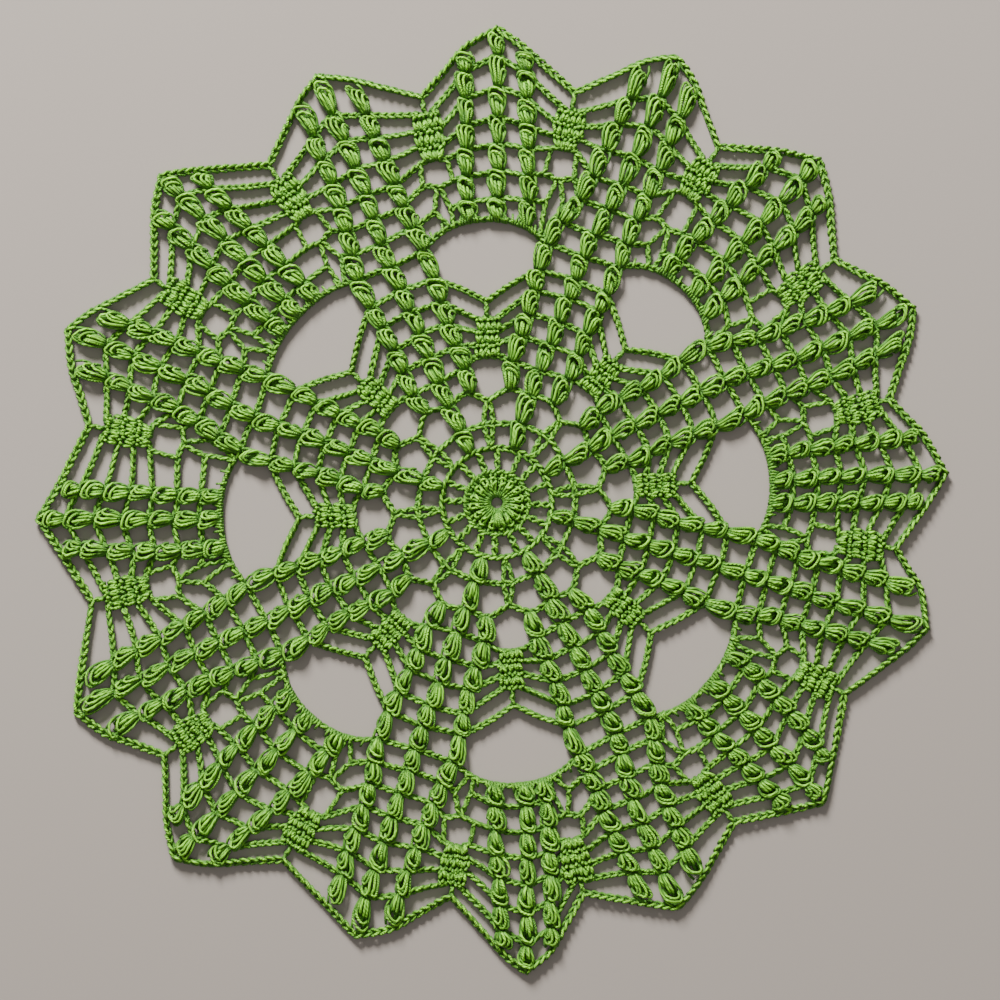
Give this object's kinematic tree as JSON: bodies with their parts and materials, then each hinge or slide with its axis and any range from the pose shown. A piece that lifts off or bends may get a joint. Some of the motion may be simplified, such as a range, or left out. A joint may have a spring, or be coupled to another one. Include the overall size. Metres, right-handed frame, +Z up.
{
  "type": "round crocheted lace doily",
  "caption": "Flat round crocheted cotton doily with a pointed edge, radiating clusters and eye-shaped openings, laid under vases, lamps or dishes.",
  "frame": {"origin": "on the table under the middle of the doily's overall width and length; the ring in its centre lies 1.5 mm to the right and 0.9 mm towards the viewer of it", "axes": "+Z up, out of the doily's right side; +Y towards the top of the doily as pictured, +X to its right"},
  "size_m": [0.2908, 0.3022, 0.0029],
  "materials": {
    "cotton_yarn": "mercerised cotton, slightly glossy, leaf green"
  },
  "bodies": {
    "root": {"lace_doily": "cotton_yarn"}
  },
  "joints": []
}
